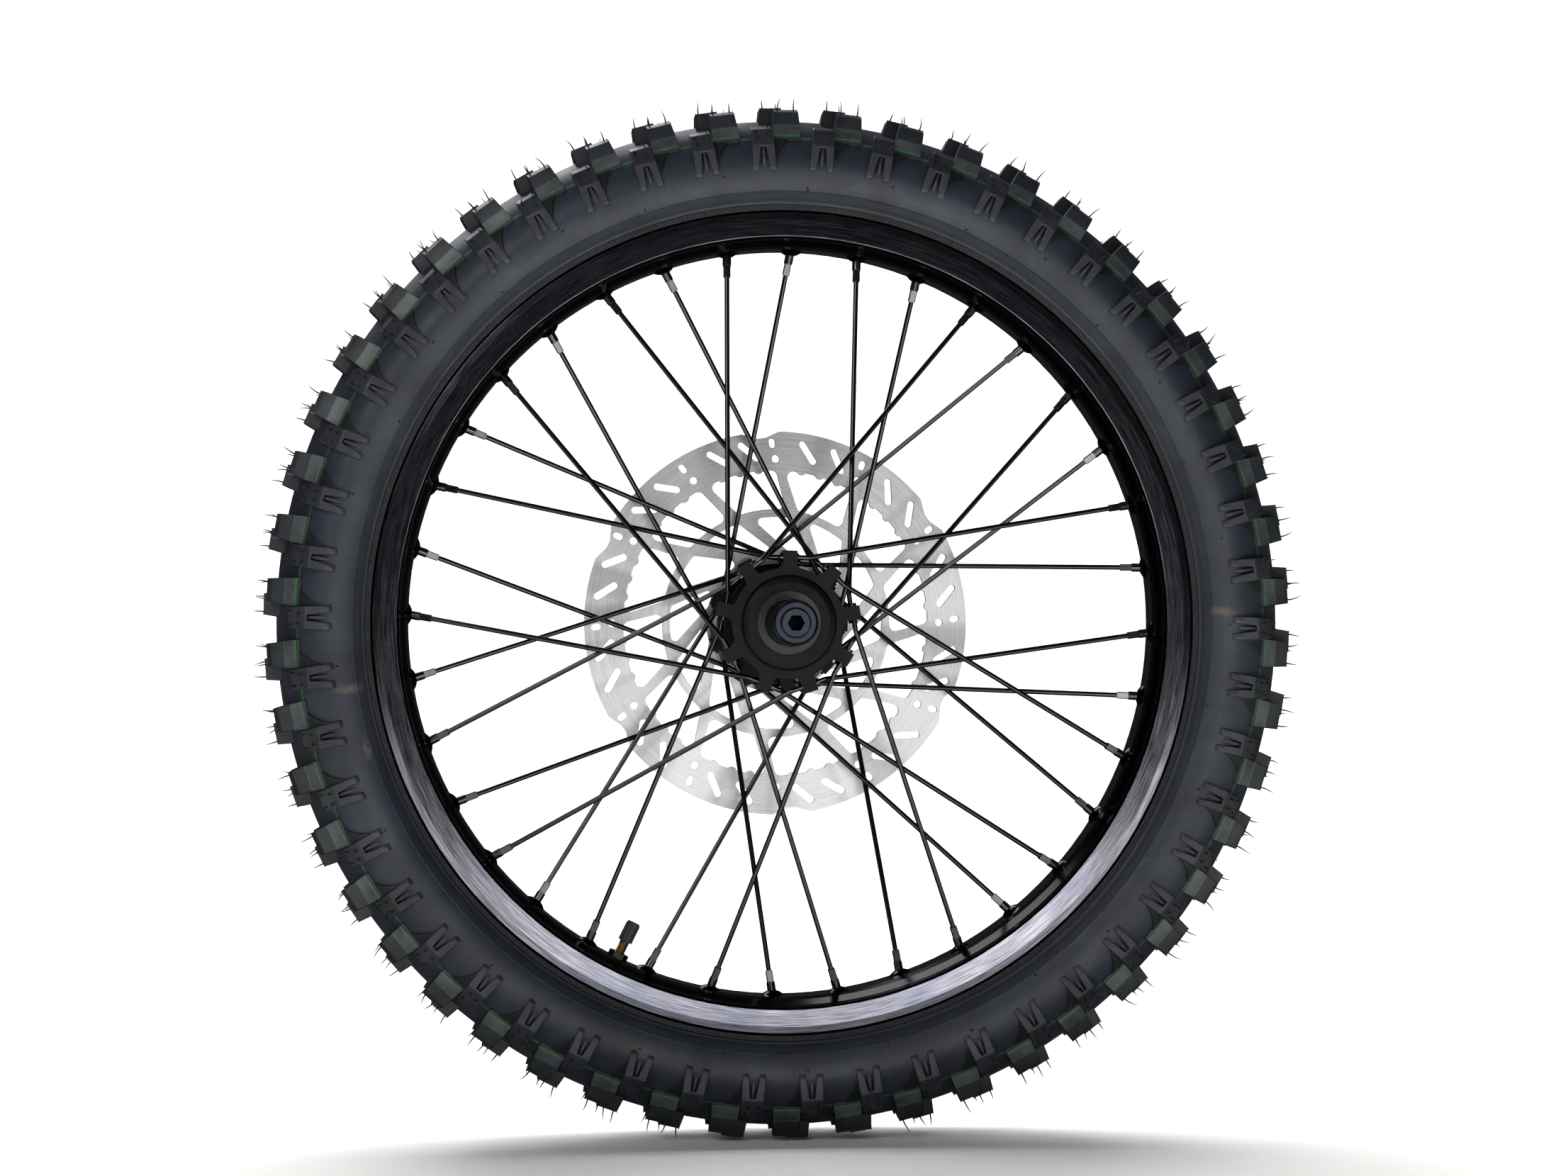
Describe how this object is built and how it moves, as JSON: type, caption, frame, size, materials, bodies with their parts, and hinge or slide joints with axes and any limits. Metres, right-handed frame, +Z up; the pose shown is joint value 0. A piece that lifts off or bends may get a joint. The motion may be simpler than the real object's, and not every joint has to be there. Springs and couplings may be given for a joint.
{
  "type": "motorcycle front wheel",
  "caption": "Spoked off-road motorcycle front wheel with knobbly tyre, laced rim, tabbed hub, wave brake disc and hollow axle.",
  "frame": {"origin": "on the axle line, in the middle plane of the rim", "axes": "+Y along the axle towards the brake disc, +Z up, +X forwards"},
  "size_m": [0.575, 0.18, 0.5752],
  "materials": {
    "black_steel": "satin black plated steel",
    "black_alloy": "black anodised aluminium",
    "plain_alloy": "turned",
    "bearing_steel": "ground and polished",
    "pressed_steel": "pressed",
    "matt_black_alloy": "matt black",
    "seal_rubber": "satin",
    "black_rim": "gloss black, brushed sides",
    "strip_rubber": "matt",
    "tyre_rubber": "dull moulded rubber",
    "tube_rubber": "matt",
    "black_nipple": "gloss black",
    "black_spoke": "gloss black",
    "ground_stainless": "ground",
    "zinc_steel": "zinc plated",
    "brass": "turned",
    "black_nut": "black plated",
    "cap_plastic": "moulded"
  },
  "bodies": {
    "axle": {"axle_shaft": "black_steel", "spacer_near": "black_alloy", "spacer_far": "black_alloy", "bearing_spacer": "plain_alloy", "inner_race_near": "bearing_steel", "inner_race_far": "bearing_steel"},
    "wheel": {"hub_shell": "matt_black_alloy", "outer_race_near": "bearing_steel", "outer_race_far": "bearing_steel", "seal_near": "seal_rubber", "seal_far": "seal_rubber", "rim": "black_rim", "rim_strip": "strip_rubber", "tyre": "tyre_rubber", "inner_tube": "tube_rubber", "nipples": "black_nipple", "brake_disc": "ground_stainless", "disc_bolts": "zinc_steel", "valve_stem": "brass", "valve_nut": "black_nut", "valve_core": "brass", "spokes_near_1": "black_spoke", "spokes_near_2": "black_spoke", "spokes_near_3": "black_spoke", "spokes_near_4": "black_spoke", "spokes_near_5": "black_spoke", "spokes_near_6": "black_spoke", "spokes_near_7": "black_spoke", "spokes_near_8": "black_spoke", "spokes_near_9": "black_spoke", "spokes_far_1": "black_spoke", "spokes_far_2": "black_spoke", "spokes_far_3": "black_spoke", "spokes_far_4": "black_spoke", "spokes_far_5": "black_spoke", "spokes_far_6": "black_spoke", "spokes_far_7": "black_spoke", "spokes_far_8": "black_spoke", "spokes_far_9": "black_spoke"},
    "ball_set_near": {"ball_cage_near": "pressed_steel", "balls_near": "bearing_steel"},
    "ball_set_far": {"ball_cage_far": "pressed_steel", "balls_far": "bearing_steel"},
    "valve_cap": {"valve_cap": "cap_plastic"},
    "valve_pin": {"valve_pin": "brass"}
  },
  "joints": [
    {"name": "wheel_spin", "type": "hinge", "parent": "axle", "child": "wheel", "pos_m": [0, 0, 0], "axis": [0, 1, 0], "continuous": true},
    {"name": "ball_set_near_spin", "type": "hinge", "parent": "axle", "child": "ball_set_near", "pos_m": [0, -0.0355, 0], "axis": [0, 1, 0], "continuous": true},
    {"name": "ball_set_far_spin", "type": "hinge", "parent": "axle", "child": "ball_set_far", "pos_m": [0, 0.0345, 0], "axis": [0, 1, 0], "continuous": true},
    {"name": "valve_cap_unscrew", "type": "slide", "parent": "wheel", "child": "valve_cap", "axis": [0.4446, 0, 0.8957], "range_m": [0, 0.0115]},
    {"name": "valve_pin_press", "type": "slide", "parent": "wheel", "child": "valve_pin", "axis": [-0.4446, 0, -0.8957], "range_m": [0, 0.0015], "stiffness_N_per_m": 300}
  ],
  "couplings": [
    {"joint": "ball_set_near_spin", "follows": "wheel_spin", "ratio": 0.6157},
    {"joint": "ball_set_far_spin", "follows": "wheel_spin", "ratio": 0.6157}
  ]
}
